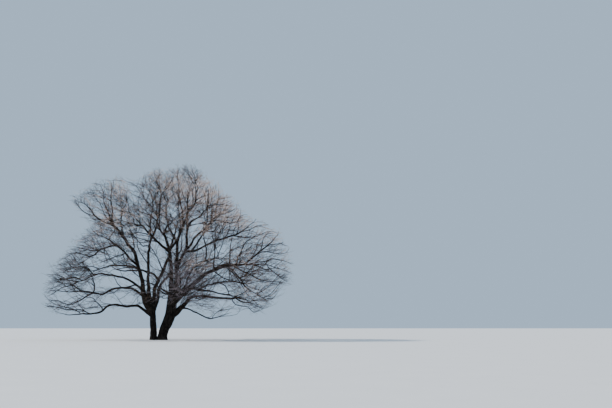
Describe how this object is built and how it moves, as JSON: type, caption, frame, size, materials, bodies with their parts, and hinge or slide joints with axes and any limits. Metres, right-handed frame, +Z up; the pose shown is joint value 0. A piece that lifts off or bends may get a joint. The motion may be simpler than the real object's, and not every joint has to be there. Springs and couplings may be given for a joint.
{
  "type": "bare winter tree",
  "caption": "Broad-domed bare deciduous tree on two stems from one root, with spreading boughs and fine twigs, fixed at its flat ground cut.",
  "frame": {"origin": "middle of the right stem's flat cut at ground level", "axes": "+Z up, +X to the right as the tree is seen in the picture, +Y away from the viewer"},
  "size_m": [26.228, 20.9117, 17.7316],
  "materials": {
    "stem_bark": "furrowed dark grey-brown bark",
    "bough_bark": "finer grey-brown bark",
    "grey_twigs": "bare grey-brown to grey-violet twigs",
    "tan_twigs": "bare twigs with sunlit tan tips"
  },
  "bodies": {
    "root": {"right_stem": "stem_bark", "left_stem": "stem_bark", "left_leader": "bough_bark", "middle_leader": "bough_bark", "inner_leader": "bough_bark", "back_leader": "bough_bark", "centre_leader": "bough_bark", "right_leader": "bough_bark", "main_right_bough": "bough_bark", "low_right_bough": "bough_bark", "front_bough": "bough_bark", "lowest_left_bough": "bough_bark", "lower_left_bough": "bough_bark", "front_left_bough": "bough_bark", "crossing_bough": "bough_bark", "upper_left_bough": "bough_bark", "left_high_bough": "bough_bark", "back_left_bough": "bough_bark", "upper_left_fork": "bough_bark", "long_diagonal": "bough_bark", "centre_fork": "bough_bark", "upper_right_bough": "bough_bark", "upper_right_fork": "bough_bark", "right_high_bough": "bough_bark", "back_right_riser": "bough_bark", "outer_right_fork": "bough_bark", "arched_bough": "bough_bark", "right_low_fork": "bough_bark", "back_right_bough": "bough_bark", "lowest_right_bough": "bough_bark", "top_middle_twigs": "tan_twigs", "top_left_twigs": "tan_twigs", "top_right_twigs": "tan_twigs", "upper_left_twigs": "tan_twigs", "upper_right_twigs": "tan_twigs", "left_high_twigs": "grey_twigs", "right_high_twigs": "tan_twigs", "left_middle_twigs": "grey_twigs", "right_middle_twigs": "tan_twigs", "left_low_twigs": "grey_twigs", "right_low_twigs": "tan_twigs", "right_skirt_twigs": "grey_twigs", "front_high_twigs": "grey_twigs", "front_upper_left_twigs": "grey_twigs", "front_upper_right_twigs": "grey_twigs", "front_left_twigs": "grey_twigs", "front_right_twigs": "grey_twigs", "front_middle_twigs": "grey_twigs", "front_low_left_twigs": "grey_twigs", "back_high_twigs": "tan_twigs", "back_left_twigs": "grey_twigs", "back_upper_right_twigs": "tan_twigs", "back_left_low_twigs": "grey_twigs", "back_right_low_twigs": "tan_twigs", "back_middle_twigs": "grey_twigs"}
  },
  "joints": []
}
